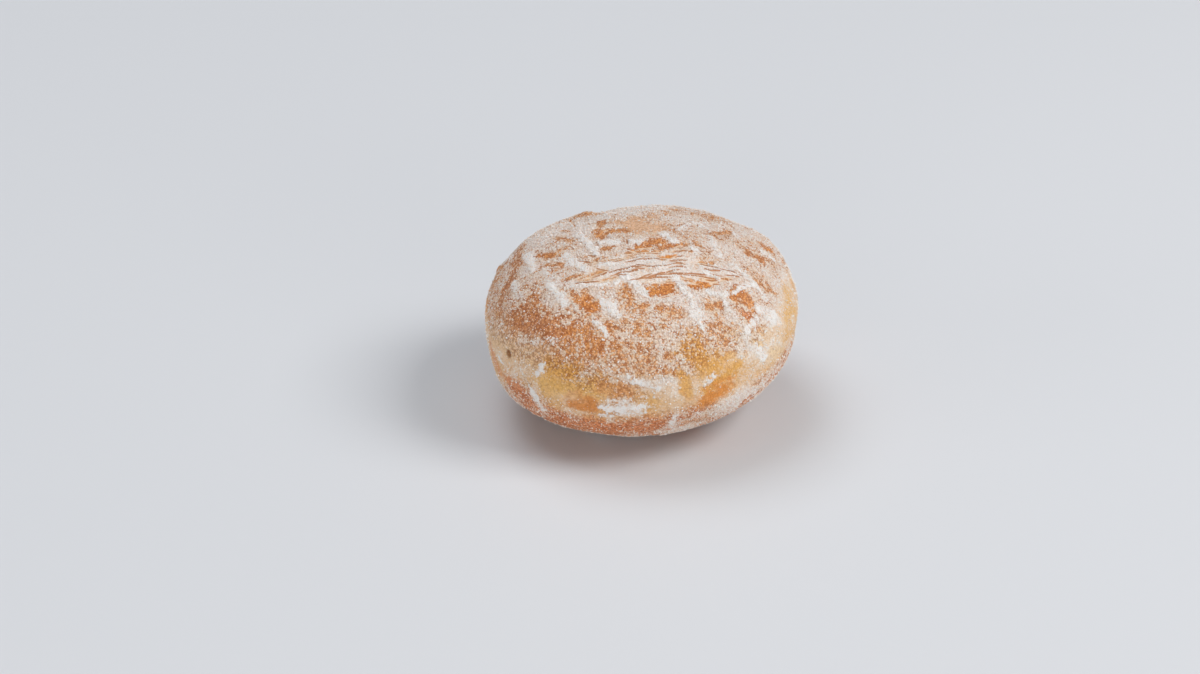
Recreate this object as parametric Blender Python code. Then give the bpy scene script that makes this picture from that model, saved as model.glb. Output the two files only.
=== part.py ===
"""A small oval doughnut without a hole, fried in one piece and dusted with icing sugar.

It is a ball of soft dough that its own weight has flattened. Each side was fried in turn, which leaves a
browned crust above and below, and between them a paler band that swells out past the edges of the crusts.
The top has shrunk into fine wrinkles, and the underside is pressed flat where the doughnut rests.

The origin is on the resting face, under the middle of the doughnut. X is its longer side, and -Y its front.
"""

import math
import random

import bmesh
import bpy
from mathutils import Matrix, Vector, noise

MM = 0.001

# Overall size
LENGTH = 60.0 * MM
DEPTH = 55.8 * MM
HEIGHT = 35.4 * MM

# The ball of dough: how full its sides are, where 2 is an ellipse and more is squarer, how much of its height
# lies above its widest level, and how far it leans up to the right
FULLNESS = 2.2
RISE = 0.49
LEAN = math.radians(2.0)

# Slow unevenness of the outline seen from above: waves round the edge, height, and where each is highest
OUTLINE_WAVES = (
    (2, 0.44 * MM, math.radians(38)),
    (3, 0.33 * MM, math.radians(140)),
    (5, 0.12 * MM, math.radians(350)),
)

# The pale band: its level above the widest one, half its width, and how that width changes round the edge
BAND_LEVEL = 2.0 * MM
BAND_HALF_WIDTH = 4.2 * MM
BAND_WIDTH_WAVES = ((1, 0.85 * MM, math.radians(180)),)
BAND_WANDER = 0.8 * MM
BAND_WANDER_LENGTH = 9.0 * MM

# Where the band stands out, as the angle seen from above, its reach and height there, and the depths of the
# creases that the upper and the lower crust's edges leave
BAND_SWELLINGS = (
    (math.radians(165), math.radians(26), 0.70 * MM, 0.70 * MM, 0.15 * MM),
    (math.radians(356), math.radians(19), 0.75 * MM, 0.10 * MM, 0.95 * MM),
    (math.radians(262), math.radians(24), 0.25 * MM, 0.20 * MM, 0.12 * MM),
    (math.radians(78), math.radians(30), 0.40 * MM, 0.35 * MM, 0.10 * MM),
)
CREASE_WIDTH = 1.1 * MM

# Lumps in the dough, as wavelength and height, and where in the noise they are taken
LUMPS = ((15.0 * MM, 0.75 * MM), (6.5 * MM, 0.28 * MM))
LUMPS_FROM = Vector((4.2, 1.7, 9.3))

# Bulges and dents of the dough and blisters of the crust, as the direction to each, its radius and its height
BULGES = (
    (Vector((-0.81, -0.42, -0.40)), 8.0 * MM, 0.90 * MM),
    (Vector((-0.29, -0.63, -0.75)), 5.0 * MM, -0.50 * MM),
    (Vector((0.79, -0.41, -0.49)), 6.0 * MM, 0.40 * MM),
    (Vector((0.79, 0.40, 0.49)), 6.0 * MM, 0.70 * MM),
    (Vector((-0.49, 0.57, 0.69)), 6.0 * MM, 0.60 * MM),
    (Vector((-0.35, 0.61, 0.73)), 2.8 * MM, 0.80 * MM),
    (Vector((-0.04, 0.70, 0.72)), 4.2 * MM, 0.45 * MM),
    (Vector((0.30, 0.64, 0.70)), 4.6 * MM, 0.30 * MM),
    (Vector((-0.62, 0.30, 0.62)), 3.6 * MM, 0.40 * MM),
    (Vector((0.66, 0.12, 0.64)), 3.8 * MM, 0.35 * MM),
)

# Wrinkles: nearly parallel folds in the crust, across the front of the dome
WRINKLE_COUNT = 8
WRINKLE_PITCH = 1.4 * MM
WRINKLE_DEPTH = 0.24 * MM
WRINKLE_WIDTH = 0.45 * MM
WRINKLE_LONGEST = 30.0 * MM
WRINKLE_SHORTEST = 14.0 * MM
WRINKLE_STAGGER = 5.0 * MM
WRINKLE_MIDDLE = Vector((2.0 * MM, -10.0 * MM))
WRINKLE_TURN = math.radians(7)
WRINKLE_BOW = 3.5
WRINKLE_WANDER = 0.7 * MM
WRINKLE_WANDER_LENGTH = 8.0 * MM
WRINKLE_TAPER = 0.6
WRINKLE_SEED = 8

# A burst bubble in the band at the front left, as the direction to it, its radius and its depth
PIT_TOWARDS = Vector((-0.868, -0.494, 0.045))
PIT_RADIUS = 1.0 * MM
PIT_DEPTH = 1.1 * MM

# Resting face: how far the underside is pressed up, and how softly its edge turns
PRESSED = 1.2 * MM
EDGE_SOFTNESS = 0.4 * MM

# Mesh: squares along each edge of the starting cube, and the extra room round a detail that gets finer faces
SQUARES = 26
FINER_MARGIN = 1.2 * MM

CRUST_COLOUR = (0.62, 0.29, 0.10, 1.0)
CRUST_ROUGHNESS = 0.7


def remove_startup_objects():
    for old in list(bpy.data.objects):
        bpy.data.objects.remove(old)


def bump(distance, width):
    """A smooth hill, 1 at its middle and near 0 past twice its width."""
    return math.exp(-((distance / width) ** 2))


def ease(value):
    """A smooth step from 0 to 1."""
    held = min(max(value, 0.0), 1.0)
    return held * held * (3.0 - 2.0 * held)


def waves(angle, rows):
    return sum(height * math.cos(count * (angle - highest)) for count, height, highest in rows)


def dough_point(towards):
    """The ball of dough with no unevenness. towards is a unit vector, and Z is counted from the widest level."""
    reach = sum(abs(part) ** FULLNESS for part in towards) ** (-1.0 / FULLNESS)
    upright = HEIGHT * RISE if towards.z > 0.0 else HEIGHT * (1.0 - RISE) + PRESSED
    half_sides = Vector((LENGTH / 2.0, DEPTH / 2.0, upright))
    return reach * towards * half_sides


def outline_relief(point):
    """The outline's slow unevenness, which dies out towards the top and the underside."""
    sideways = math.hypot(point.x, point.y) / (LENGTH / 2.0)
    return sideways**2 * waves(math.atan2(point.y, point.x), OUTLINE_WAVES)


def band_relief(point):
    """The pale band where it swells out, with a crease along the edge of each crust there."""
    angle = math.atan2(point.y, point.x)
    half_width = BAND_HALF_WIDTH + waves(angle, BAND_WIDTH_WAVES)
    wander = BAND_WANDER * noise.noise(Vector((point.x, point.y, 0.0)) / BAND_WANDER_LENGTH)
    level = point.z - BAND_LEVEL - wander
    swollen = bump(level, half_width)
    at_upper_edge = bump(level - half_width, CREASE_WIDTH)
    at_lower_edge = bump(level + half_width, CREASE_WIDTH)
    relief = 0.0
    for middle, reach, height, upper_crease, lower_crease in BAND_SWELLINGS:
        here = bump(math.remainder(angle - middle, math.tau), reach)
        relief += here * (height * swollen - upper_crease * at_upper_edge - lower_crease * at_lower_edge)
    return relief


def lumps(point):
    return sum(height * noise.noise(point / length + LUMPS_FROM) for length, height in LUMPS)


def bulges(point):
    relief = 0.0
    for towards, radius, height in BULGES:
        relief += height * bump((point - dough_point(towards.normalized())).length, radius)
    return relief


def along_and_across_wrinkles(point):
    """Where a point lies in the wrinkled patch, seen from above: along the folds, and across them."""
    turned = Matrix.Rotation(-WRINKLE_TURN, 2) @ (Vector((point.x, point.y)) - WRINKLE_MIDDLE)
    return turned.x, turned.y + WRINKLE_BOW * turned.x**2


def wrinkle_runs():
    """Each fold's place across the patch, the middle of its run and half its length."""
    chance = random.Random(WRINKLE_SEED)
    runs = []
    for number in range(WRINKLE_COUNT):
        place = (number - (WRINKLE_COUNT - 1) / 2.0) * WRINKLE_PITCH
        middle = chance.uniform(-WRINKLE_STAGGER, WRINKLE_STAGGER)
        runs.append((place, middle, chance.uniform(WRINKLE_SHORTEST, WRINKLE_LONGEST) / 2.0))
    return runs


def wrinkles(point, runs):
    """Folds of uneven length that wander a little, each fading out towards its ends."""
    along, across = along_and_across_wrinkles(point)
    if point.z < 0.0 or abs(across) > WRINKLE_COUNT * WRINKLE_PITCH:
        return 0.0
    relief = 0.0
    for place, middle, half_length in runs:
        along_fold = Vector((along / WRINKLE_WANDER_LENGTH, place / WRINKLE_PITCH, 0.0))
        line = place + WRINKLE_WANDER * noise.noise(along_fold)
        fade = ease((1.0 - abs(along - middle) / half_length) / WRINKLE_TAPER)
        relief -= WRINKLE_DEPTH * fade * bump(across - line, WRINKLE_WIDTH)
    return relief


def from_pit(point):
    return (point - dough_point(PIT_TOWARDS.normalized())).length


def pressed_flat(height, floor):
    """Holds a height at the floor, and rounds the edge where the surface leaves it."""
    above = height - floor
    if above >= EDGE_SOFTNESS:
        return height
    if above <= -EDGE_SOFTNESS:
        return floor
    return floor + (above + EDGE_SOFTNESS) ** 2 / (4.0 * EDGE_SOFTNESS)


def doughnut_point(towards, runs):
    """The finished surface in the direction of a unit vector from the middle of the ball."""
    point = dough_point(towards)
    relief = outline_relief(point) + band_relief(point) + lumps(point) + bulges(point)
    relief += wrinkles(point, runs) - PIT_DEPTH * bump(from_pit(point), PIT_RADIUS)
    outwards = Vector((towards.x / LENGTH, towards.y / DEPTH, towards.z / HEIGHT)).normalized()
    point = Matrix.Rotation(-LEAN, 3, "Y") @ (point + outwards * relief)
    point.z = pressed_flat(point.z, -HEIGHT * (1.0 - RISE))
    return point


def needs_finer_faces(face):
    """True for faces in the wrinkled patch and round the burst bubble."""
    point = dough_point(face.calc_center_median().normalized())
    if from_pit(point) < PIT_RADIUS + FINER_MARGIN:
        return True
    along, across = along_and_across_wrinkles(point)
    reach = WRINKLE_COUNT * WRINKLE_PITCH / 2.0 + FINER_MARGIN
    return point.z > 0.0 and abs(across) < reach and abs(along) < WRINKLE_LONGEST / 2.0


def ball_mesh():
    """A ball of nearly even squares, from a cube whose squares are spread by equal angles."""
    ball = bmesh.new()
    bmesh.ops.create_cube(ball, size=2.0)
    bmesh.ops.subdivide_edges(ball, edges=ball.edges[:], cuts=SQUARES - 1, use_grid_fill=True)
    for vertex in ball.verts:
        vertex.co = Vector(math.tan(side * math.pi / 4.0) for side in vertex.co).normalized()
    finer = {edge for face in ball.faces if needs_finer_faces(face) for edge in face.edges}
    bmesh.ops.subdivide_edges(ball, edges=list(finer), cuts=1, use_grid_fill=True)
    bmesh.ops.triangulate(ball, faces=ball.faces[:])
    return ball


def fit_to_size(points):
    """Brings the uneven surface to the overall size exactly, centred over the origin and resting on Z = 0."""
    low = Vector(min(point[axis] for point in points) for axis in range(3))
    high = Vector(max(point[axis] for point in points) for axis in range(3))
    stretch = Vector(size / (high[axis] - low[axis]) for axis, size in enumerate((LENGTH, DEPTH, HEIGHT)))
    middle = Vector(((low.x + high.x) / 2.0, (low.y + high.y) / 2.0, low.z))
    return [(point - middle) * stretch for point in points]


def crust_material():
    material = bpy.data.materials.new("sugared_crust")
    material.use_nodes = True
    shader = material.node_tree.nodes["Principled BSDF"]
    shader.inputs["Base Color"].default_value = CRUST_COLOUR
    shader.inputs["Roughness"].default_value = CRUST_ROUGHNESS
    return material


def make_doughnut():
    ball = ball_mesh()
    runs = wrinkle_runs()
    surface = fit_to_size([doughnut_point(vertex.co.normalized(), runs) for vertex in ball.verts])
    for vertex, point in zip(ball.verts, surface):
        vertex.co = point
    mesh = bpy.data.meshes.new("doughnut")
    ball.to_mesh(mesh)
    ball.free()
    mesh.shade_smooth()
    mesh.materials.append(crust_material())
    doughnut = bpy.data.objects.new("doughnut", mesh)
    bpy.context.scene.collection.objects.link(doughnut)
    return doughnut


remove_startup_objects()
make_doughnut()
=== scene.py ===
"""A small oval doughnut without a hole, with icing sugar on its browned crust, on a plain pale floor.

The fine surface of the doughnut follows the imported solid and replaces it. The sugar is a thin cover on that
surface, with loose clumps and grains lying on it as meshes of their own.
"""

import math

import bmesh
import bpy
import numpy as np
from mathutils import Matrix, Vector, noise
from mathutils.bvhtree import BVHTree


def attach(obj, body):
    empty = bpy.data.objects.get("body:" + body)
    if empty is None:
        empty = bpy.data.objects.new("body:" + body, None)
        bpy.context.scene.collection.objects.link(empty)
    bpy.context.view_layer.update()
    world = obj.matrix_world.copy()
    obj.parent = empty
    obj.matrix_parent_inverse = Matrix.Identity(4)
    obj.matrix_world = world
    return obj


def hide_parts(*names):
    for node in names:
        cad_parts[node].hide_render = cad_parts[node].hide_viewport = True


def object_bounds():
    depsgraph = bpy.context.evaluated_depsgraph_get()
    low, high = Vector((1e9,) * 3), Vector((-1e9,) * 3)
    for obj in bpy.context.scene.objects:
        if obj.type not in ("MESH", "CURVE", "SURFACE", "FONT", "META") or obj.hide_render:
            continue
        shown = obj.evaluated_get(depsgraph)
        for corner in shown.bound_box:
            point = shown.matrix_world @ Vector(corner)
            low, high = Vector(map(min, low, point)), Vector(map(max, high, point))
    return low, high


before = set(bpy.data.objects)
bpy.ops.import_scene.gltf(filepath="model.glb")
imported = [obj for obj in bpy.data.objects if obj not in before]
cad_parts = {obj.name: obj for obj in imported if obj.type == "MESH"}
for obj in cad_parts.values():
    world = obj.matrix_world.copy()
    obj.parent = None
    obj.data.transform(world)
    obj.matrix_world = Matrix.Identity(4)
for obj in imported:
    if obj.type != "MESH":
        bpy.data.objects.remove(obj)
cad_low, cad_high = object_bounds()


# Camera. It looks at the doughnut from the front and from about 30 degrees above the floor, through a long
# lens, and its rays through single points of the picture say where each mark of the crust lies.
PICTURE_WIDTH = 1200
PICTURE_HEIGHT = 674
LENS_MM = 85.0
SENSOR_MM = 36.0
NEAREST_SEEN = 0.01
LOOKING_DOWN = math.radians(29.5)
DOUGHNUT_LENGTH_IN_PICTURE = 314.2
DOUGHNUT_MIDDLE_IN_PICTURE = (641.5, 317.3)

focal_length = PICTURE_WIDTH * LENS_MM / SENSOR_MM
middle = (cad_low + cad_high) / 2.0
distance = focal_length * (cad_high.x - cad_low.x) / DOUGHNUT_LENGTH_IN_PICTURE


def placed(name, data):
    """A new object of the scene, made of a mesh, a camera or a lamp."""
    made = bpy.data.objects.new(name, data)
    bpy.context.scene.collection.objects.link(made)
    return made


def through_picture_point(x, y):
    """The camera's own direction through a point of the picture, in pixels from its upper left corner."""
    return Vector(((x - PICTURE_WIDTH / 2.0) / focal_length, (PICTURE_HEIGHT / 2.0 - y) / focal_length, -1.0))


camera = placed("camera", bpy.data.cameras.new("camera"))
bpy.context.scene.camera = camera
camera.data.lens = LENS_MM
camera.data.sensor_width = SENSOR_MM
camera.data.clip_start = NEAREST_SEEN
camera.location = middle + distance * Vector((0.0, -math.cos(LOOKING_DOWN), math.sin(LOOKING_DOWN)))
straight_at_doughnut = (middle - camera.location).to_track_quat("-Z", "Y")
towards_doughnut = through_picture_point(*DOUGHNUT_MIDDLE_IN_PICTURE)
to_its_place = towards_doughnut.rotation_difference(Vector((0.0, 0.0, -1.0)))
camera.rotation_mode = "QUATERNION"
camera.rotation_quaternion = straight_at_doughnut @ to_its_place


# Crust. The doughnut is a ball of soft yeast dough, fried on one side and then on the other. The skin has
# browned, blistered into a fine pebbly surface and shrunk into folds across the top, and the sugar was
# shaken over it. This piece is the whole skin, finer than the solid that it replaces.
MM = 0.001

# How finely the skin is divided: squares along each side of the cube that is blown up to a ball, rounds of
# smoothing, and for each of two halvings how near a crease and how far inside the folds a square has to be
SQUARES_ALONG_SIDE = 97
SMOOTHING_ROUNDS = 22
HALVED_NEAR_CREASE = (0.9 * MM, 0.4 * MM)
HALVED_INSIDE_FOLDS = (0.0, 0.99)

# How far towards the middle, as a share of the way, a point just beside the doughnut is moved to find it
FOUND_INWARDS = 0.1
STEPS_INWARDS = 21

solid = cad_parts["doughnut"]
solid_mesh = bmesh.new()
solid_mesh.from_mesh(solid.data)
solid_tree = BVHTree.FromBMesh(solid_mesh)
solid_mesh.free()


def on_crust(x, y):
    """Where the camera's ray through a point of the picture meets the doughnut, or its edge beside that."""
    for inwards in np.linspace(0.0, FOUND_INWARDS, STEPS_INWARDS):
        nearer_x = x + (DOUGHNUT_MIDDLE_IN_PICTURE[0] - x) * inwards
        nearer_y = y + (DOUGHNUT_MIDDLE_IN_PICTURE[1] - y) * inwards
        direction = camera.rotation_quaternion @ through_picture_point(nearer_x, nearer_y)
        hit = solid_tree.ray_cast(camera.location, direction.normalized())[0]
        if hit is not None:
            return np.array(hit)
    raise ValueError(f"the picture point {x}, {y} lies beside the doughnut")


def distance_to_line(points, line):
    """How far each point is from the nearest of the straight runs that join the line's own points."""
    nearest = np.linalg.norm(points - line[0], axis=1)
    for start, end in zip(line[:-1], line[1:]):
        run = end - start
        share = np.clip((points - start) @ run / (run @ run), 0.0, 1.0)
        nearest = np.minimum(nearest, np.linalg.norm(points - start - share[:, None] * run, axis=1))
    return nearest


def noise_at(points, wavelength, place=0.0):
    """Smooth noise from about -1 to 1 at each point, with lumps of about the wavelength. place is any number
    that shifts the noise, so that no two uses of it look alike."""
    return np.array([noise.noise(point) for point in (points / wavelength + place).tolist()])


def ease(values):
    """A smooth step from 0 to 1."""
    held = np.clip(values, 0.0, 1.0)
    return held * held * (3.0 - 2.0 * held)


# Creases of the shrunken skin across the top, each as points of the picture, with its depth as a share of
# CREASE_DEPTH
CREASES = (
    (((609, 271.5), (621, 270), (638, 265), (652, 266.5), (664, 265.5), (676, 264), (690, 265)), 0.17),
    (((625, 272.5), (638, 268.5), (651, 268)), 0.13),
    (((640, 282.5), (649, 277.5), (661, 273), (676, 270.5), (684, 269)), 0.15),
    (((642, 281), (650, 279), (657, 275), (672, 274), (690, 273), (712, 276)), 0.12),
    (((584, 254.5), (592, 256), (602, 256.5)), 0.13),
    (((590, 267), (603, 270), (614, 272)), 0.12),
    (((569, 285), (586, 282.5), (604, 281)), 0.13),
    (((636, 249), (646, 249.5), (655, 247.5)), 0.10),
    (((655, 299.5), (666, 297), (676, 295.5)), 0.12),
    (((672, 248.5), (684, 245.5)), 0.10),
    (((671, 258.5), (679, 256.5), (688, 255)), 0.12),
    (((619, 255), (628, 252), (638, 253)), 0.12),
    (((694, 262.5), (712, 267), (734, 272.5), (747, 278)), 0.12),
    (((611, 275), (624, 276), (634, 275)), 0.12),
    (((664, 261), (680, 260.5), (694, 259.5)), 0.10),
    (((573, 262), (586, 262), (598, 263)), 0.10),
    (((668, 252.5), (680, 251), (692, 249.5)), 0.10),
    (((696, 267), (705, 269), (714, 270)), 0.10),
    (((720, 275), (733, 276), (744, 278)), 0.10),
    (((708, 283.5), (716, 284.5), (725, 284)), 0.10),
    (((626, 237), (628, 247)), 0.12),
    (((633, 281), (645, 276.5), (656, 273)), 0.10),
    (((662, 270), (671, 267.5), (681, 267), (691, 268.5)), 0.13),
    (((697, 270), (708, 270.5), (719, 271), (728, 273)), 0.10),
    (((737, 286), (744, 286), (751, 287)), 0.10),
    (((700, 279), (712, 280.5), (722, 281)), 0.08),
)
CREASE_DEPTH = 1.2 * MM
CREASE_WIDTH = 0.25 * MM
CREASE_FADE_LENGTH = 2.2 * MM
CREASE_UNEVEN_LENGTH = 2.4 * MM
CREASE_LEAST_DEPTH = 0.65
RIDGE_AWAY = 0.58 * MM
RIDGE_WIDTH = 0.6 * RIDGE_AWAY
RIDGE_SHARE = 0.8

# Finer folds between them, seen from above: the middle of their patch, how it is turned and bowed, its
# reach along and across, how steeply it ends, the pitch, width, depth and wandering of the folds, and how
# much of a crease's painted shade and bare skin they take
FOLDS_MIDDLE = (2.0 * MM, -10.2 * MM)
FOLDS_TURN = math.radians(7)
FOLDS_BOW = 3.5
FOLDS_REACH = (17.0 * MM, 5.2 * MM)
FOLDS_END = 2.5
FOLD_PITCH = 0.98 * MM
FOLD_WIDTH = 0.23 * MM
FOLD_DEPTH = 0.20 * MM
FOLD_WANDER = 0.22 * MM
FOLD_WANDER_LENGTH = 4.0 * MM
FOLD_RUN_LENGTH = 8.0 * MM
FOLD_SHADE_SHARE = 0.95

# A burst bubble in the pale band at the front left
PIT_IN_PICTURE = (507, 354)
PIT_RADIUS = 0.90 * MM
PIT_DEPTH = 0.65 * MM

# Pebbly relief of the fried skin, as wavelength and height
PEBBLES = ((2.4 * MM, 0.075 * MM), (1.1 * MM, 0.055 * MM))

crease_lines = [np.array([on_crust(*point) for point in points]) for points, depth in CREASES]
pit_place = on_crust(*PIT_IN_PICTURE)


def distance_to_creases(points):
    """How far each point is from the nearest crease."""
    return np.min([distance_to_line(points, line) for line in crease_lines], axis=0)


def along_and_across_folds(points):
    """Where each point lies in the patch of fine folds, and how far it is inside the patch, from 0 to 1."""
    x, y = points[:, 0] - FOLDS_MIDDLE[0], points[:, 1] - FOLDS_MIDDLE[1]
    along = math.cos(FOLDS_TURN) * x + math.sin(FOLDS_TURN) * y
    across = math.cos(FOLDS_TURN) * y - math.sin(FOLDS_TURN) * x + FOLDS_BOW * along**2
    inside = ease(FOLDS_END * (1.0 - np.hypot(along / FOLDS_REACH[0], across / FOLDS_REACH[1])))
    return along, across, inside * (points[:, 2] > middle.z)


def points_of(mesh):
    flat = np.empty(len(mesh.vertices) * 3)
    mesh.vertices.foreach_get("co", flat)
    return flat.reshape(-1, 3)


def normals_of(mesh):
    flat = np.empty(len(mesh.vertices) * 3)
    mesh.vertex_normals.foreach_get("vector", flat)
    return flat.reshape(-1, 3)


def smoothed(mesh, rounds):
    """The mesh's points, each moved to the middle of its neighbours in every round, against facets."""
    ends = np.empty(len(mesh.edges) * 2, np.int32)
    mesh.edges.foreach_get("vertices", ends)
    near, far = ends.reshape(-1, 2).T
    from_point = np.concatenate([near, far])
    to_point = np.concatenate([far, near])
    points = points_of(mesh)
    count = np.bincount(from_point, minlength=len(points))
    for turn in range(rounds):
        for axis in range(3):
            points[:, axis] = np.bincount(from_point, points[to_point, axis], len(points)) / count
    return points


def crust_mesh():
    """A ball of nearly even squares drawn onto the solid, with its squares halved, and halved again, round
    the creases, the folds and the bubble."""
    ball = bmesh.new()
    bmesh.ops.create_cube(ball, size=2.0)
    bmesh.ops.subdivide_edges(ball, edges=ball.edges[:], cuts=SQUARES_ALONG_SIDE - 1, use_grid_fill=True)
    for vertex in ball.verts:
        outwards = Vector(math.tan(side * math.pi / 4.0) for side in vertex.co).normalized()
        vertex.co = solid_tree.ray_cast(middle, outwards)[0]
    mesh = bpy.data.meshes.new("crust")
    ball.to_mesh(mesh)
    points = smoothed(mesh, SMOOTHING_ROUNDS)
    mesh.vertices.foreach_set("co", points.ravel())
    ball.free()
    ball = bmesh.new()
    ball.from_mesh(mesh)
    for reach, inside_folds in zip(HALVED_NEAR_CREASE, HALVED_INSIDE_FOLDS):
        middles = np.array([face.calc_center_median() for face in ball.faces])
        near_pit = np.linalg.norm(middles - pit_place, axis=1) < reach + PIT_RADIUS
        in_folds = along_and_across_folds(middles)[2] > inside_folds
        finer = near_pit | in_folds | (distance_to_creases(middles) < reach)
        edges = {edge for face, split in zip(ball.faces, finer) if split for edge in face.edges}
        bmesh.ops.subdivide_edges(ball, edges=list(edges), cuts=1, use_grid_fill=True)
    bmesh.ops.triangulate(ball, faces=ball.faces[:])
    ball.to_mesh(mesh)
    ball.free()
    return mesh


crust_surface = crust_mesh()
crust_points = points_of(crust_surface)
crust_normals = normals_of(crust_surface)
crust_angle = np.arctan2(crust_points[:, 1], crust_points[:, 0])
crust_height = crust_points[:, 2]

# The pale band where neither side lay in the oil: its height above the floor, which rises to the right and
# drops at the front and the back, half its width, the softness of its edge, and how it wanders and thins
BAND_HEIGHT = 17.3 * MM
BAND_RISE_TO_RIGHT = 2.6 * MM
BAND_DROP = 1.5 * MM
BAND_HALF_WIDTH = 4.2 * MM
BAND_EDGE = 3.2 * MM
BAND_WANDER = 2.6 * MM
BAND_WANDER_LENGTH = 9.0 * MM
BAND_GAPS_LENGTH = 13.0 * MM

band_level = BAND_HEIGHT + BAND_RISE_TO_RIGHT * np.cos(crust_angle)
band_level += BAND_DROP * np.cos(2.0 * crust_angle)
from_band = crust_height - band_level + BAND_WANDER * noise_at(crust_points, BAND_WANDER_LENGTH, 3.7)
band = ease((BAND_HALF_WIDTH - np.abs(from_band)) / BAND_EDGE + 0.5)
band *= ease(0.95 + 1.5 * noise_at(crust_points, BAND_GAPS_LENGTH, 6.1))

# Colours of the bare skin, as red, green and blue, and the painted shade inside the pit
GOLDEN_BROWN = (0.74, 0.355, 0.135)
LIGHT_TAN = (0.80, 0.48, 0.28)
DEEP_ORANGE = (0.77, 0.30, 0.06)
DARK_BROWN = (0.61, 0.23, 0.07)
RED_BROWN = (0.78, 0.31, 0.13)
OCHRE = (0.78, 0.415, 0.105)
YELLOW = (0.81, 0.48, 0.15)
BEIGE = (0.84, 0.59, 0.36)
CREAM = (0.87, 0.69, 0.46)
SMOOTH_TAN = (0.83, 0.54, 0.35)
SHADE_IN_PIT = (0.34, 0.15, 0.05)

# How much of each the skin takes by itself, the size of its light and dark patches, and how far below the
# band it has turned red
TAN_SHARE = 0.5
DARK_SHARE = 0.35
YELLOW_SHARE = 0.8
BEIGE_SHARE = 0.7
WORN_SHARE = 0.7
LIGHT_PATCH = 6.5 * MM
DARK_PATCH = 4.0 * MM
RED_BELOW = 3.0 * MM

# Patches of other colour on the skin, as points of the picture, half the width in mm, colour and strength
PATCHES = (
    (((633, 222), (641, 230), (655, 229)), 2.2, SMOOTH_TAN, 0.9),
    (((600, 222), (600, 236)), 1.0, GOLDEN_BROWN, 0.8),
    (((658, 258), (679, 255)), 1.1, DEEP_ORANGE, 1.0),
    (((533, 256), (558, 258), (562, 266)), 1.6, DEEP_ORANGE, 0.35),
    (((648, 292), (660, 290), (671, 286)), 1.6, DEEP_ORANGE, 0.7),
    (((693, 286), (703, 285), (712, 281)), 1.2, DEEP_ORANGE, 0.7),
    (((584, 300), (590, 305)), 1.6, DEEP_ORANGE, 0.8),
    (((740, 293), (754, 308)), 1.6, DEEP_ORANGE, 0.5),
    (((763, 246), (771, 251)), 1.2, DEEP_ORANGE, 0.7),
    (((745, 312), (752, 325)), 1.0, RED_BROWN, 0.7),
    (((518, 246), (514, 280), (504, 300)), 2.0, DARK_BROWN, 0.6),
    (((518, 308), (535, 322), (552, 332)), 4.0, DARK_BROWN, 0.7),
    (((574, 332), (600, 345)), 2.6, DEEP_ORANGE, 0.4),
    (((540, 345), (556, 352)), 2.0, GOLDEN_BROWN, 0.5),
    (((492, 335), (505, 347), (525, 354), (542, 360)), 2.6, BEIGE, 0.8),
    (((490, 346), (499, 371)), 1.2, RED_BROWN, 0.7),
    (((540, 380), (560, 387), (585, 389), (598, 386)), 2.4, YELLOW, 0.9),
    (((548, 366), (562, 370), (574, 374)), 1.8, OCHRE, 0.9),
    (((571, 404), (583, 406), (595, 407)), 1.7, DEEP_ORANGE, 0.9),
    (((571, 404), (583, 406), (595, 407)), 1.7, DARK_BROWN, 0.45),
    (((606, 388), (630, 391)), 1.8, GOLDEN_BROWN, 0.7),
    (((646, 385), (662, 390), (676, 394)), 1.9, BEIGE, 0.7),
    (((690, 350), (706, 360), (718, 367)), 2.8, OCHRE, 0.9),
    (((738, 366), (724, 378), (708, 392)), 1.6, OCHRE, 0.9),
    (((682, 373), (689, 394)), 1.2, OCHRE, 0.8),
    (((705, 402), (714, 396), (724, 389)), 2.0, DEEP_ORANGE, 1.0),
    (((745, 340), (765, 352), (780, 350)), 2.6, CREAM, 0.8),
    (((500, 338), (510, 347), (526, 357)), 1.4, CREAM, 0.3),
    (((515, 364), (522, 374), (532, 390)), 1.0, CREAM, 0.4),
    (((556, 397), (572, 397)), 1.0, CREAM, 0.3),
    (((641, 246), (658, 241), (674, 243)), 1.5, DEEP_ORANGE, 0.6),
    (((786, 286), (789, 304), (788, 318)), 2.0, YELLOW, 0.8),
    (((509, 381), (519, 391), (529, 400)), 2.0, RED_BROWN, 0.9),
    # The next patch, along the lower right front edge, is partly the skin's tan and partly painted bounce
    # light from the floor
    (((668, 433), (684, 427), (708, 415), (735, 400), (757, 384)), 2.4, SMOOTH_TAN, 0.85),
    (((548, 420), (580, 427), (620, 430), (664, 429)), 2.2, RED_BROWN, 0.9),
)

# A flat smooth patch at the back of the top, between blisters, as points of the picture and half the
# width in mm
SMOOTH_PATCH = (((633, 222), (641, 230), (655, 229)), 2.4)

# How a mark ends, in half widths from its line, over how many of them it fades, and how ragged its edge,
# uneven its width and wandering its line are
MARK_END = 1.65
MARK_FADE = 1.3
RAGGED_EDGE = 0.75
RAGGED_LENGTH = 1.1 * MM
FINER_RAGGED_LENGTH = RAGGED_LENGTH / 2.6
FINER_RAGGED_SHARE = 0.6
UNEVEN_WIDTH = 0.55
UNEVEN_LENGTH = 3.0 * MM
MARK_WANDER = 0.40 * MM
MARK_WANDER_LENGTH = 2.4 * MM

ragged = noise_at(crust_points, RAGGED_LENGTH, 8.1)
ragged += FINER_RAGGED_SHARE * noise_at(crust_points, FINER_RAGGED_LENGTH, 5.2)
uneven_width = 1.0 + UNEVEN_WIDTH * noise_at(crust_points, UNEVEN_LENGTH, 2.9)
wander = [MARK_WANDER * noise_at(crust_points, MARK_WANDER_LENGTH, place) for place in (11.3, 23.9, 35.1)]
wandering_points = crust_points + np.stack(wander, axis=1)


def cover_of_line(line, half_width):
    """1 on a line along the crust and 0 away from it, with an uneven width and a ragged edge."""
    away = distance_to_line(wandering_points, line) / half_width
    return ease((MARK_END - away * uneven_width + RAGGED_EDGE * ragged) / MARK_FADE)


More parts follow.
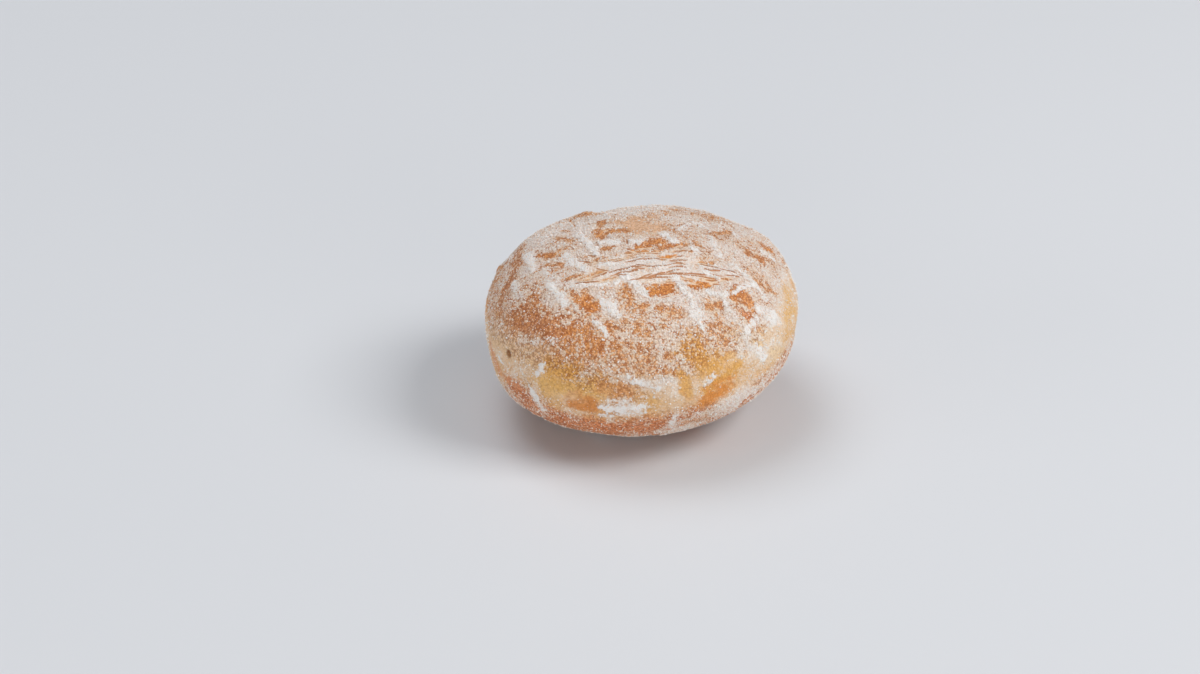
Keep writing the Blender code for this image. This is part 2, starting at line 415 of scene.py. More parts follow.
def cover_of_mark(points_in_picture, half_width):
    """The same for a mark of the picture. half_width is in mm."""
    return cover_of_line(np.array([on_crust(*point) for point in points_in_picture]), half_width * MM)


def blended(colours, other, share):
    """The colours with a share of another mixed in at each point, from 0 to 1."""
    return colours + (np.array(other) - colours) * share[:, None]


def skin_colours(worn):
    """The bare skin's colour at each point: golden brown, redder below the band, yellow and beige in it, and
    deep orange in the hidden bare places, where worn is 1."""
    light = noise_at(crust_points, LIGHT_PATCH, 1.3)
    dark = noise_at(crust_points, DARK_PATCH, 6.6)
    colours = np.tile(np.array(GOLDEN_BROWN), (len(crust_points), 1))
    colours = blended(colours, LIGHT_TAN, TAN_SHARE * ease(0.3 + 1.2 * light))
    colours = blended(colours, RED_BROWN, ease(-from_band / RED_BELOW - 0.5))
    colours = blended(colours, DARK_BROWN, DARK_SHARE * ease(dark * 2.0 - 0.4))
    colours = blended(colours, YELLOW, band * YELLOW_SHARE)
    colours = blended(colours, BEIGE, BEIGE_SHARE * band * ease(0.3 + 1.6 * light))
    colours = blended(colours, DEEP_ORANGE, WORN_SHARE * worn)
    for points_in_picture, half_width, colour, strength in PATCHES:
        colours = blended(colours, colour, strength * cover_of_mark(points_in_picture, half_width))
    return colours


# Streaks and patches of thick sugar, as points of the picture, half the width in mm, and how thick
SUGAR_STREAKS = (
    (((566, 256), (576, 263), (586, 271)), 0.80, 1.1),
    (((578, 235), (588, 244), (599, 254)), 0.75, 1.1),
    (((549, 285), (557, 293), (566, 303)), 0.80, 1.1),
    (((601, 298), (609, 306), (616, 314)), 0.70, 1.0),
    (((623, 274), (633, 283), (645, 292)), 0.65, 1.0),
    (((674, 279), (683, 289), (690, 298), (696, 308), (700, 319)), 0.75, 1.0),
    (((700, 270), (710, 274), (719, 279)), 0.50, 0.8),
    (((596, 321), (602, 328), (607, 336)), 0.45, 0.8),
    (((730, 266), (744, 274), (756, 286), (765, 300)), 0.60, 0.8),
    (((521, 369), (528, 381), (533, 392)), 0.40, 0.8),
    (((533, 392), (538, 400), (543, 408)), 0.65, 1.0),
    (((668, 430), (672, 421), (675, 414)), 0.50, 0.8),
    (((604, 243), (618, 243)), 0.90, 1.0),
    (((631, 242), (642, 241)), 0.80, 0.9),
    (((572, 287), (595, 285), (618, 284)), 0.50, 0.8),
    (((600, 265), (616, 265)), 0.55, 0.9),
    (((640, 260), (656, 261)), 0.60, 0.9),
    (((708, 292), (722, 296), (740, 288), (752, 285)), 0.60, 0.9),
    (((722, 297), (728, 308), (735, 318)), 0.50, 0.8),
    (((757, 309), (765, 314), (776, 319)), 1.30, 0.80),
    (((757, 320), (748, 331)), 1.00, 0.8),
    (((663, 233), (668, 237), (674, 242)), 0.90, 0.9),
    (((677, 231), (689, 225)), 0.55, 0.8),
    (((693, 223), (705, 228)), 0.70, 0.9),
    (((710, 238), (715, 247), (719, 256)), 0.80, 0.8),
    (((692, 247), (699, 255)), 0.70, 0.7),
    (((763, 253), (769, 257), (776, 263)), 0.75, 0.9),
    (((734, 233), (740, 238)), 0.60, 0.8),
    (((640, 292), (650, 296)), 0.50, 0.8),
    (((528, 255), (531, 262), (534, 269)), 0.85, 1.1),
    (((514, 284), (522, 296)), 0.90, 0.6),
    (((543, 272), (558, 284)), 0.90, 0.6),
    (((530, 345), (544, 341), (556, 338)), 0.65, 0.55),
    (((538, 374), (543, 364)), 0.75, 1.0),
    (((501, 358), (502, 363)), 0.45, 0.9),
    (((600, 407), (614, 409), (634, 408), (650, 405)), 0.80, 0.9),
    (((600, 414), (646, 412)), 0.50, 0.80),
    (((610, 402), (628, 401)), 0.80, 0.70),
    (((640, 400), (650, 395)), 0.50, 0.5),
    (((629, 379), (643, 384), (658, 387)), 0.55, 0.9),
    (((652, 398), (664, 392)), 0.45, 0.5),
    (((702, 326), (710, 337)), 0.60, 0.6),
    (((731, 342), (737, 349)), 0.60, 0.6),
    (((752, 346), (764, 358)), 0.90, 0.8),
    (((706, 384), (714, 374)), 0.60, 0.7),
    (((692, 302), (694, 322)), 0.80, 0.6),
    (((661, 300), (690, 300)), 0.70, 0.5),
)

# Places where the sugar was rubbed off or never stuck, in the same form
BARE_PLACES = (
    (((600, 222), (600, 236)), 0.8, 0.9),
    (((607, 231), (618, 231), (629, 231)), 0.9, 0.9),
    (((605, 248), (609, 248)), 0.6, 0.8),
    (((633, 222), (641, 230), (655, 229)), 1.9, 0.8),
    (((641, 246), (658, 241)), 1.0, 0.9),
    (((656, 249), (671, 246), (686, 244)), 0.6, 0.8),
    (((661, 258), (675, 256)), 0.6, 1.0),
    (((628, 253), (645, 251), (660, 252)), 0.45, 0.7),
    (((670, 253), (682, 251), (694, 251)), 0.45, 0.7),
    (((606, 262), (620, 260), (632, 257)), 0.45, 0.6),
    (((538, 256), (558, 257)), 0.65, 0.8),
    (((575, 277), (586, 281), (592, 277)), 0.8, 0.6),
    (((560, 252), (566, 248), (574, 249)), 0.7, 0.4),
    (((603, 281), (618, 277)), 0.7, 0.6),
    (((545, 266), (560, 264)), 0.6, 0.7),
    (((594, 274), (603, 272)), 0.6, 0.8),
    (((571, 292), (577, 299)), 0.8, 0.8),
    (((584, 291), (588, 298)), 0.8, 0.8),
    (((584, 305), (597, 305)), 0.8, 1.0),
    (((623, 286), (631, 300)), 0.9, 0.7),
    (((648, 292), (660, 290), (671, 286)), 1.1, 1.0),
    (((693, 286), (703, 285), (712, 281)), 0.8, 1.0),
    (((683, 279), (692, 281)), 0.5, 0.8),
    (((721, 280), (730, 278)), 0.5, 0.8),
    (((727, 294), (736, 298)), 0.6, 0.9),
    (((740, 293), (748, 300), (754, 308)), 1.3, 1.0),
    (((710, 305), (721, 305)), 0.8, 0.8),
    (((661, 308), (675, 313)), 1.2, 0.7),
    (((635, 305), (648, 306)), 0.6, 0.7),
    (((694, 242), (697, 245)), 0.6, 0.7),
    (((714, 235), (729, 233)), 0.9, 0.7),
    (((742, 248), (748, 251)), 0.5, 0.7),
    (((763, 246), (771, 251)), 0.8, 0.9),
    (((748, 254), (762, 260)), 0.7, 0.8),
    (((756, 283), (774, 292)), 1.0, 0.7),
    (((700, 263), (712, 264)), 0.6, 0.7),
    (((746, 314), (751, 323)), 0.8, 0.9),
    (((519, 250), (515, 265), (513, 280)), 1.1, 0.55),
    (((566, 280), (576, 276), (584, 275)), 0.6, 0.7),
    (((530, 295), (535, 298)), 0.6, 0.8),
    (((556, 238), (572, 241)), 0.5, 0.6),
    (((563, 231), (571, 231)), 0.5, 0.7),
    (((541, 233), (549, 236)), 0.5, 0.5),
    (((570, 219), (575, 227)), 0.5, 0.6),
    (((510, 281), (504, 290), (501, 300)), 1.2, 0.65),
    (((520, 312), (535, 322), (550, 330)), 2.3, 0.6),
    (((577, 217), (590, 216)), 0.8, 0.6),
    (((574, 332), (586, 336), (598, 342)), 1.5, 0.6),
    (((605, 328), (611, 328)), 0.8, 0.7),
    (((532, 358), (544, 357)), 0.8, 0.6),
    (((643, 340), (648, 358)), 1.0, 0.3),
    (((638, 328), (642, 333)), 0.9, 0.5),
    (((637, 362), (640, 376)), 0.6, 0.6),
    (((666, 356), (672, 356)), 0.7, 0.6),
    (((664, 372), (679, 372)), 0.7, 0.6),
    (((621, 388), (634, 392)), 0.9, 0.7),
    (((602, 388), (617, 393)), 1.1, 0.6),
    (((656, 404), (647, 411)), 0.8, 0.8),
    (((658, 402), (676, 406), (692, 404)), 1.3, 0.3),
    (((721, 340), (730, 343)), 0.8, 0.6),
    (((728, 353), (735, 353)), 0.7, 0.9),
    (((753, 341), (760, 343)), 0.6, 0.7),
    (((751, 386), (759, 380)), 0.7, 0.7),
    (((742, 402), (750, 396)), 0.7, 0.7),
    (((725, 391), (733, 387)), 0.7, 0.8),
    (((705, 402), (714, 396), (724, 389)), 1.4, 0.95),
    (((686, 423), (704, 417)), 0.8, 0.7),
    (((548, 418), (580, 425), (620, 428), (656, 427)), 1.3, 0.45),
    (((590, 420), (604, 422)), 0.9, 0.7),
    (((697, 214), (712, 218), (726, 223)), 1.2, 0.45),
    (((672, 209), (683, 211)), 0.9, 0.5),
    (((509, 381), (519, 391), (529, 400)), 1.3, 0.6),
    (((490, 346), (495, 360), (499, 371)), 0.8, 0.6),
    (((544, 383), (560, 387), (585, 388), (598, 385)), 1.8, 0.8),
    (((548, 366), (562, 370), (574, 374)), 1.3, 0.7),
    (((571, 404), (581, 406), (590, 407)), 1.2, 0.9),
    (((692, 352), (704, 360), (716, 366)), 2.2, 0.7),
    (((738, 366), (724, 378), (708, 392)), 1.2, 0.8),
    (((682, 373), (685, 385), (689, 394)), 0.8, 0.7),
    (((786, 288), (789, 304), (788, 316)), 1.2, 0.5),
    (((771, 351), (784, 353)), 0.9, 0.6),
    (((492, 335), (505, 345), (522, 352), (538, 357)), 1.8, 0.5),
)

# Places where the dusting is thicker, or thinner, than elsewhere, in the same form; two thicker ones are
# partly painted light
THICK_DUSTING_AND_PAINTED_LIGHT = (
    # The next row, at the back left, is partly sugar and partly painted light that lightens that side
    (((540, 238), (560, 230), (580, 232)), 2.6, 0.34),
    (((545, 290), (552, 312)), 1.6, 0.14),
    (((531, 278), (559, 295)), 2.2, 0.06),
    (((506, 300), (526, 313)), 1.6, 0.12),
    (((635, 210), (666, 208)), 1.5, 0.16),
    (((575, 225), (615, 212), (660, 208)), 2.4, 0.26),
    (((642, 247), (662, 251)), 1.4, 0.12),
    (((701, 223), (752, 238)), 2.2, 0.14),
    (((711, 243), (752, 260)), 2.0, 0.12),
    (((706, 268), (742, 275)), 1.4, 0.16),
    (((747, 278), (777, 303)), 1.6, 0.14),
    (((755, 303), (770, 318)), 1.8, 0.20),
    (((716, 290), (727, 305)), 1.2, 0.16),
    (((732, 315), (747, 346)), 1.4, 0.16),
    (((755, 343), (787, 351)), 1.6, 0.20),
    (((686, 285), (699, 315)), 1.6, 0.18),
    (((638, 263), (676, 268)), 1.2, 0.16),
    (((605, 240), (638, 245)), 1.0, 0.16),
    (((650, 376), (676, 391)), 1.6, 0.16),
    (((605, 403), (640, 411)), 1.3, 0.16),
    (((742, 398), (762, 382), (778, 364)), 1.8, 0.22),
    (((531, 336), (556, 346)), 1.2, 0.18),
    (((595, 295), (615, 313)), 1.4, 0.16),
    (((622, 273), (645, 295)), 1.4, 0.16),
    (((629, 379), (655, 387)), 1.3, 0.18),
    # The next row, along the lower right front edge, is partly sugar and partly painted bounce light from the
    # floor
    (((668, 432), (706, 416), (734, 402), (754, 388)), 2.8, 0.38),
)
THIN_DUSTING = (
    (((516, 310), (556, 336)), 4.2, 0.18),
    (((569, 316), (615, 336)), 2.6, 0.14),
    (((545, 352), (590, 362), (640, 372)), 3.0, 0.13),
    (((627, 350), (627, 385)), 2.2, 0.12),
    (((750, 324), (762, 338)), 2.0, 0.18),
    (((536, 416), (620, 430), (660, 432)), 2.6, 0.08),
    (((493, 270), (504, 308)), 2.4, 0.16),
    (((560, 398), (590, 408)), 2.0, 0.14),
    (((638, 397), (664, 404)), 1.8, 0.18),
    (((500, 338), (515, 357), (530, 382)), 2.2, 0.12),
    (((512, 326), (528, 338)), 1.6, 0.14),
    (((512, 282), (526, 290)), 1.4, 0.10),
    (((564, 350), (582, 358)), 1.6, 0.12),
)

# The even dusting between them: how much of the skin it covers at the top and further down, the size of
# its patches and how far they change it, how much more lies in the folds and beside a streak, and how much
# of it is gone from a bare place
DUSTING_ON_TOP = 0.65
DUSTING_BELOW = 0.34
DUSTING_PATCH = 5.0 * MM
DUSTING_CHANGE = 0.24
SMALL_DUSTING_PATCH = DUSTING_PATCH / 2.5
SMALL_DUSTING_CHANGE = 0.8 * DUSTING_CHANGE
DUSTING_IN_FOLDS = 0.18
SPILT_BESIDE_STREAK = 0.22
RUBBED_OFF = 0.95

# How full a streak is, and how that changes along it
STREAK_FULLNESS = 0.88
STREAK_CHANGE = 0.60
STREAK_PATCH = 1.3 * MM

# Streaks and bare places on the sides that the picture doesn't show: how many of both are tried on the
# whole crust, their shortest and longest, narrowest and widest, faintest and strongest, and the mean and
# the spread of their slope in degrees
HIDDEN_MARKS = 300
HIDDEN_MARK_LENGTHS = (2.5 * MM, 8.0 * MM)
HIDDEN_MARK_WIDTHS = (0.5 * MM, 1.2 * MM)
HIDDEN_MARK_STRENGTHS = (0.6, 1.0)
HIDDEN_MARK_SLOPE = (-50.0, 22.0)
HIDDEN_MARK_SEED = 21
NEVER_ZERO = 1e-9


def seen_by_camera(points, normals):
    """1 where the camera sees the crust well inside its outline, 0 where it doesn't see it."""
    to_camera = np.array(camera.location) - points
    to_camera /= np.linalg.norm(to_camera, axis=1)[:, None]
    return ease(np.sum(to_camera * normals, axis=1) * 4.0 - 0.2)


def hidden_marks(chance):
    """Streaks of sugar and bare places like those in view, for the sides that the picture doesn't show."""
    thick = np.zeros(len(crust_points))
    bare = np.zeros(len(crust_points))
    for number in range(HIDDEN_MARKS):
        start = chance.integers(len(crust_points))
        across = np.cross(crust_normals[start], (0.0, 0.0, 1.0))
        across /= np.linalg.norm(across) + NEVER_ZERO
        downwards = np.cross(across, crust_normals[start])
        slope = math.radians(chance.normal(*HIDDEN_MARK_SLOPE))
        run = chance.uniform(*HIDDEN_MARK_LENGTHS) * (math.cos(slope) * across + math.sin(slope) * downwards)
        line = np.array([crust_points[start], crust_points[start] + run])
        strength = chance.uniform(*HIDDEN_MARK_STRENGTHS)
        cover = strength * cover_of_line(line, chance.uniform(*HIDDEN_MARK_WIDTHS))
        if number % 2:
            thick = np.maximum(thick, cover)
        else:
            bare = np.maximum(bare, cover)
    hidden = 1.0 - seen_by_camera(crust_points, crust_normals)
    return thick * hidden, bare * hidden


hidden_streaks, hidden_bare = hidden_marks(np.random.default_rng(HIDDEN_MARK_SEED))


def sugar_cover():
    """How densely each point of the crust is dusted, from 0 to 1, and how thick a streak lies on it."""
    upwards = ease(0.5 + 0.6 * crust_normals[:, 2])
    cover = DUSTING_BELOW + (DUSTING_ON_TOP - DUSTING_BELOW) * upwards
    cover += DUSTING_CHANGE * noise_at(crust_points, DUSTING_PATCH, 2.2)
    cover += SMALL_DUSTING_CHANGE * noise_at(crust_points, SMALL_DUSTING_PATCH, 4.4)
    thick, bare = hidden_streaks, hidden_bare
    for points_in_picture, half_width, strength in THICK_DUSTING_AND_PAINTED_LIGHT:
        cover += strength * cover_of_mark(points_in_picture, half_width)
    for points_in_picture, half_width, strength in THIN_DUSTING:
        cover -= strength * cover_of_mark(points_in_picture, half_width)
    for points_in_picture, half_width, strength in SUGAR_STREAKS:
        thick = np.maximum(thick, strength * cover_of_mark(points_in_picture, half_width))
    for points_in_picture, half_width, strength in BARE_PLACES:
        bare = np.maximum(bare, strength * cover_of_mark(points_in_picture, half_width))
    cover += SPILT_BESIDE_STREAK * thick
    cover += DUSTING_IN_FOLDS * along_and_across_folds(crust_points)[2]
    cover *= 1.0 - RUBBED_OFF * bare
    thick = thick * (STREAK_FULLNESS + STREAK_CHANGE * noise_at(crust_points, STREAK_PATCH, 1.9))
    return np.clip(cover, 0.0, 1.0), thick


def fold_relief():
    """The fine folds' depth at each point, and how near a point lies to the bottom of one, from 0 to 1."""
    along, across, inside = along_and_across_folds(crust_points)
    number = np.round(across / FOLD_PITCH)
    level = np.zeros(len(along))
    # The noise is read in another row for each fold, so that each wanders and breaks off by itself
    wandering = noise_at(np.stack([along / FOLD_WANDER_LENGTH, number * 7.7, level], axis=1), 1.0)
    runs = noise_at(np.stack([along / FOLD_RUN_LENGTH, number * 3.1, level + 5.5], axis=1), 1.0)
    off_line = across - number * FOLD_PITCH - FOLD_WANDER * wandering
    nearness = inside * ease(0.60 + 2.0 * runs) * np.exp(-((off_line / FOLD_WIDTH) ** 2))
    return -FOLD_DEPTH * nearness, nearness


def crease_relief():
    """How far the skin is sunk in each crease and raised beside it, and how near each point lies to a crease
    or a fold, from 0 to 1."""
    relief, nearness = fold_relief()
    nearness *= FOLD_SHADE_SHARE
    uneven = ease(0.7 + 1.6 * noise_at(crust_points, CREASE_UNEVEN_LENGTH, 12.7))
    uneven = CREASE_LEAST_DEPTH + (1.0 - CREASE_LEAST_DEPTH) * uneven
    for line, (points_in_picture, depth) in zip(crease_lines, CREASES):
        away = distance_to_line(crust_points, line)
        from_start = np.linalg.norm(crust_points - line[0], axis=1)
        from_end = np.linalg.norm(crust_points - line[-1], axis=1)
        fade = uneven * ease(0.1 + np.minimum(from_start, from_end) / CREASE_FADE_LENGTH)
        groove = np.exp(-((away / CREASE_WIDTH) ** 2))
        ridge = np.exp(-(((away - RIDGE_AWAY) / RIDGE_WIDTH) ** 2))
        relief += CREASE_DEPTH * depth * fade * (RIDGE_SHARE * ridge - groove)
        nearness = np.maximum(nearness, fade * groove)
    return relief, nearness


# Small blisters and dents, as a point of the picture, and radius and height in mm
BLISTERS = (
    ((585, 215), 1.9, 0.55),
    ((570, 220), 1.3, -0.45),
    ((500, 270), 1.1, 0.60),
    ((524, 243), 1.6, 0.25),
    ((612, 216), 1.3, 0.25),
    ((650, 214), 2.0, 0.25),
    ((724, 226), 1.8, 0.25),
    ((606, 236), 1.3, -0.20),
    ((694, 236), 1.6, 0.20),
    ((770, 262), 1.4, 0.25),
    ((548, 330), 2.0, 0.20),
    ((650, 376), 1.6, 0.25),
    ((668, 390), 1.8, 0.25),
)

# The surface: how thick the dusting and the streaks are and how uneven that is, how much of the pebbly
# relief the band has lost, and how evenly the sugar lies on the band, the flat patch and the folds
DUSTING_THICKNESS = 0.12 * MM
STREAK_THICKNESS = 0.26 * MM
THICKNESS_MEAN = 0.7
THICKNESS_CHANGE = 0.5
THICKNESS_PATCH = 0.8 * MM
PEBBLES_LOST_IN_BAND = 0.6
BAND_EVENNESS = 0.9
PATCH_EVENNESS = 0.7
FOLDS_EVENNESS = 0.75


def round_hill(place, radius):
    """A round hill on the crust, 1 at its middle and 0 away from it."""
    return np.exp(-((np.linalg.norm(crust_points - place, axis=1) / radius) ** 2))


pit = round_hill(pit_place, PIT_RADIUS)
crust_dusting, crust_streaks = (cover * (1.0 - pit) for cover in sugar_cover())
crust_sugar = np.maximum(crust_dusting, crust_streaks)
# The pit holds no sugar and is painted dark inside, as painted shade
crust_skin = blended(skin_colours(hidden_bare), SHADE_IN_PIT, ease(2.2 * pit - 0.4))
crease_height, crust_crease = crease_relief()
pebbles = sum(height * noise_at(crust_points, length, 9.9) for length, height in PEBBLES)
blisters = sum(height * MM * round_hill(on_crust(*place), radius * MM) for place, radius, height in BLISTERS)
relief = pebbles * (1.0 - PEBBLES_LOST_IN_BAND * band) + crease_height + blisters - PIT_DEPTH * pit
thickness = DUSTING_THICKNESS * crust_dusting + STREAK_THICKNESS * ease(1.6 * crust_streaks - 0.3)
relief += thickness * (THICKNESS_MEAN + THICKNESS_CHANGE * noise_at(crust_points, THICKNESS_PATCH, 7.3))
crust_points = crust_points + crust_normals * relief[:, None]
crust_points[:, 2] = np.maximum(crust_points[:, 2], 0.0)
crust_surface.vertices.foreach_set("co", crust_points.ravel())
crust_surface.update()
crust_normals = normals_of(crust_surface)


def add_values(mesh, name, values):
    """Gives each point of a mesh a named value for its material."""
    layer = mesh.attributes.new(name, "FLOAT", "POINT")
    layer.data.foreach_set("value", values.astype(np.float32))


def add_colours(mesh, name, colours):
    """Gives each point of a mesh a named colour for its material."""
    layer = mesh.attributes.new(name, "FLOAT_COLOR", "POINT")
    with_alpha = np.concatenate([colours, np.ones((len(colours), 1))], axis=1)
    layer.data.foreach_set("color", with_alpha.ravel().astype(np.float32))


add_colours(crust_surface, "skin", crust_skin)
add_values(crust_surface, "dusting", crust_dusting)
add_values(crust_surface, "streaks", crust_streaks)
add_values(crust_surface, "crease", crust_crease)
smooth_folds = FOLDS_EVENNESS * along_and_across_folds(crust_points)[2]
smooth_patch = PATCH_EVENNESS * cover_of_mark(*SMOOTH_PATCH)
smoothness = np.maximum.reduce([BAND_EVENNESS * band, smooth_patch, smooth_folds])
add_values(crust_surface, "smoothness", smoothness)

# The finish: colours of the sugar where it is thin, soaked with fat or thick, and the painted shade in the
# creases and in the skin's grit and gaps between specks. The last one multiplies the skin's own colour.
SUGAR_WHITE = (0.845, 0.81, 0.79, 1.0)
WARM_SUGAR = (0.82, 0.66, 0.51, 1.0)
THICK_SUGAR = (0.85, 0.83, 0.82, 1.0)
SOAKED_SUGAR = (0.84, 0.58, 0.38, 1.0)
SHADE_IN_CREASES = (0.47, 0.20, 0.08, 1.0)
SKIN_SHADE_TINT = (0.62, 0.46, 0.36, 1.0)

# Sizes of the specks of sugar, of the crumbs that they gather in, and of the grit of the skin
SPECK_SIZE = 0.38 * MM
LARGE_SPECK_SIZE = 2.1 * SPECK_SIZE
CRUMB_SIZE = 0.9 * MM
GRIT_SIZE = 0.26 * MM

# How much the specks, the large specks and the crumbs weigh in where sugar lies, what is taken off their
# sum, and how soft a speck's edge is
SPECK_WEIGHT = 0.58
LARGE_SPECK_WEIGHT = 0.40
CRUMB_WEIGHT = 0.80
TAKEN_OFF = 0.39
SPECK_SOFTNESS = 0.14

# How white the specks, the streaks and the ridges beside a crease are, how strong the painted shade in the
# gaps between specks and in the creases is, how far the skin is soaked, and how far specks melt together
# where the skin is smooth
SPECK_WHITENESS = 0.88
STREAK_WHITENESS = 0.96
RIDGE_WHITENESS = 0.85
GAP_SHADE_STRENGTH = 0.65
CREASE_SHADE_STRENGTH = 0.75
SOAKED_SHARE = 0.35
MELTED_SHARE = 0.65

# The value at which each of these begins, and the one at which it is full
SHADED_GAP = (0.40, 0.75)
EVEN_DUSTING = (0.10, 0.90)
STREAK = (0.30, 0.70)
RIDGE_OUTSIDE = (0.02, 0.16)
RIDGE_INSIDE = (0.60, 0.35)
BARE_CREASE = (0.32, 0.68)
SHADED_CREASE = (0.38, 0.72)
SOAKED_SKIN = (0.10, 0.95)
SHADED_SKIN = (0.62, 0.30)
WHITE_SUGAR = (0.54, 1.20)

# Roughness of the bare skin and of the sugar, the shine of both, and the height of the finest relief
SKIN_ROUGHNESS = 0.5
SUGAR_ROUGHNESS = 0.9
SHINE = 0.35
FINEST_RELIEF = 0.30 * MM


def new_material(name):
    """A new material and its shader."""
    material = bpy.data.materials.new(name)
    material.use_nodes = True
    return material, material.node_tree.nodes["Principled BSDF"]


def put(nodes, kind, **settings):
    """A new shader node with its settings."""
    made = nodes.new(kind)
    for name, value in settings.items():
        setattr(made, name, value)
    return made


def crust_material():
    """Browned skin under specks of sugar: the sugar's cover says how many specks there are."""
    material, shader = new_material("sugared_crust")
    nodes, links = material.node_tree.nodes, material.node_tree.links
    place = put(nodes, "ShaderNodeTexCoord").outputs["Object"]

    def give(socket, given):
        """Sets a socket to a number or a colour, or links it to what another node gives."""
        if isinstance(given, (float, tuple)):
            socket.default_value = given
        else:
            links.new(given, socket)

    def texture(kind, size):
        made = put(nodes, kind)
        made.inputs["Scale"].default_value = 1.0 / size
        links.new(place, made.inputs["Vector"])
        return made

    def noise_of(size, detail):
        made = texture("ShaderNodeTexNoise", size)
        made.inputs["Detail"].default_value = detail
        return made.outputs["Fac"]

    def value_of(name):
        return put(nodes, "ShaderNodeAttribute", attribute_name=name).outputs["Fac"]

    def maths(operation, first, second):
        made = put(nodes, "ShaderNodeMath", operation=operation)
        give(made.inputs[0], first)
        give(made.inputs[1], second)
        return made.outputs[0]

    def plus(first, second):
        return maths("ADD", first, second)

    def minus(first, second):
        return maths("SUBTRACT", first, second)

    def times(first, second):
        return maths("MULTIPLY", first, second)

    def stepped(value, low, high, bottom=0.0, top=1.0):
        made = put(nodes, "ShaderNodeMapRange", interpolation_type="SMOOTHSTEP")
        links.new(value, made.inputs["Value"])
        for name, given in (("From Min", low), ("From Max", high), ("To Min", bottom), ("To Max", top)):
            made.inputs[name].default_value = given
        return made.outputs["Result"]

    def mixed(share, first, second, blend="MIX"):
        made = put(nodes, "ShaderNodeMix", data_type="RGBA", blend_type=blend)
        for number, given in ((0, share), (6, first), (7, second)):
            give(made.inputs[number], given)
        return made.outputs[2]

    def cell_values(size):
        """Two random values for each small cell of the crust, and how far a point is from its middle."""
        cells = texture("ShaderNodeTexVoronoi", size)
        split = put(nodes, "ShaderNodeSeparateColor")
        links.new(cells.outputs["Color"], split.inputs[0])
        return split.outputs[0], split.outputs[1], cells.outputs["Distance"]

    # Where sugar would lie first, as a low value, and where last
    crumbs = noise_of(CRUMB_SIZE, 3.0)
    small_chance, tint, off_middle = cell_values(SPECK_SIZE)
    large_chance = cell_values(LARGE_SPECK_SIZE)[0]
    chance = plus(times(small_chance, SPECK_WEIGHT), times(crumbs, CRUMB_WEIGHT))
    chance = minus(plus(chance, times(large_chance, LARGE_SPECK_WEIGHT)), TAKEN_OFF)

    # Specks of the dusting, with painted shade in the gaps between them, which fades where the skin is smooth
    dusting = value_of("dusting")
    melted = times(value_of("smoothness"), MELTED_SHARE)
    gap_shade = times(stepped(off_middle, *SHADED_GAP), minus(0.85, melted))
    specks = stepped(minus(dusting, chance), -SPECK_SOFTNESS, SPECK_SOFTNESS)
    specks = plus(specks, times(minus(stepped(dusting, *EVEN_DUSTING), specks), melted))
    specks = times(specks, SPECK_WHITENESS)
    specks = times(specks, minus(1.0, times(gap_shade, 0.5)))

    # Streaks of thick sugar, and white ridges beside creases that are bare themselves
    streaks = stepped(plus(value_of("streaks"), times(minus(0.5, chance), 0.55)), *STREAK)
    crease = value_of("crease")
    ridges = times(stepped(crease, *RIDGE_OUTSIDE), stepped(crease, *RIDGE_INSIDE))
    cover = maths("MAXIMUM", specks, times(streaks, STREAK_WHITENESS))
    cover = maths("MAXIMUM", cover, times(ridges, RIDGE_WHITENESS))
    cover = times(cover, stepped(crease, *BARE_CREASE, 1.0, 0.06))

    # The skin, soaked under the sugar, with painted shade from its grit, in the gaps between specks and in
    # the creases
    grit = noise_of(GRIT_SIZE, 1.0)
    skin = put(nodes, "ShaderNodeAttribute", attribute_name="skin").outputs["Color"]
    skin_in_shade = mixed(1.0, skin, SKIN_SHADE_TINT, "MULTIPLY")
    darkest_shade = mixed(1.0, skin_in_shade, SKIN_SHADE_TINT, "MULTIPLY")
    soaked = plus(dusting, times(minus(crumbs, 0.5), 0.6))
    skin = mixed(stepped(soaked, *SOAKED_SKIN, 0.0, SOAKED_SHARE), skin, SOAKED_SUGAR)
    shade = plus(times(tint, 0.45), times(grit, 0.55))
    shade = plus(shade, times(minus(0.6, shade), melted))
    skin = mixed(stepped(shade, *SHADED_SKIN), skin, skin_in_shade)
    # Painted shade in the gaps between specks
    skin = mixed(times(gap_shade, GAP_SHADE_STRENGTH), skin, darkest_shade)
    # Painted shade in the creases and folds, over their bare skin
    skin = mixed(times(stepped(crease, *SHADED_CREASE), CREASE_SHADE_STRENGTH), skin, SHADE_IN_CREASES)

    # The sugar, whiter the thicker it lies
    whiteness = plus(dusting, times(tint, 0.4))
    sugar = mixed(stepped(whiteness, *WHITE_SUGAR), WARM_SUGAR, SUGAR_WHITE)
    sugar = mixed(streaks, sugar, THICK_SUGAR)
    links.new(mixed(cover, skin, sugar), shader.inputs["Base Color"])
    links.new(stepped(cover, 0.0, 1.0, SKIN_ROUGHNESS, SUGAR_ROUGHNESS), shader.inputs["Roughness"])
    shader.inputs["Specular IOR Level"].default_value = SHINE

    # The finest relief, of specks and grit
    height = plus(times(cover, 0.5), times(grit, 0.6))
    height = minus(height, times(off_middle, 0.7))
    bump = put(nodes, "ShaderNodeBump")
    bump.inputs["Strength"].default_value = 1.0
    bump.inputs["Distance"].default_value = FINEST_RELIEF
    links.new(height, bump.inputs["Height"])
    links.new(bump.outputs["Normal"], shader.inputs["Normal"])
    return material


crust_surface.materials.append(crust_material())
crust_surface.shade_smooth()
crust = placed("crust", crust_surface)
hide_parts("doughnut")
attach(crust, "root")


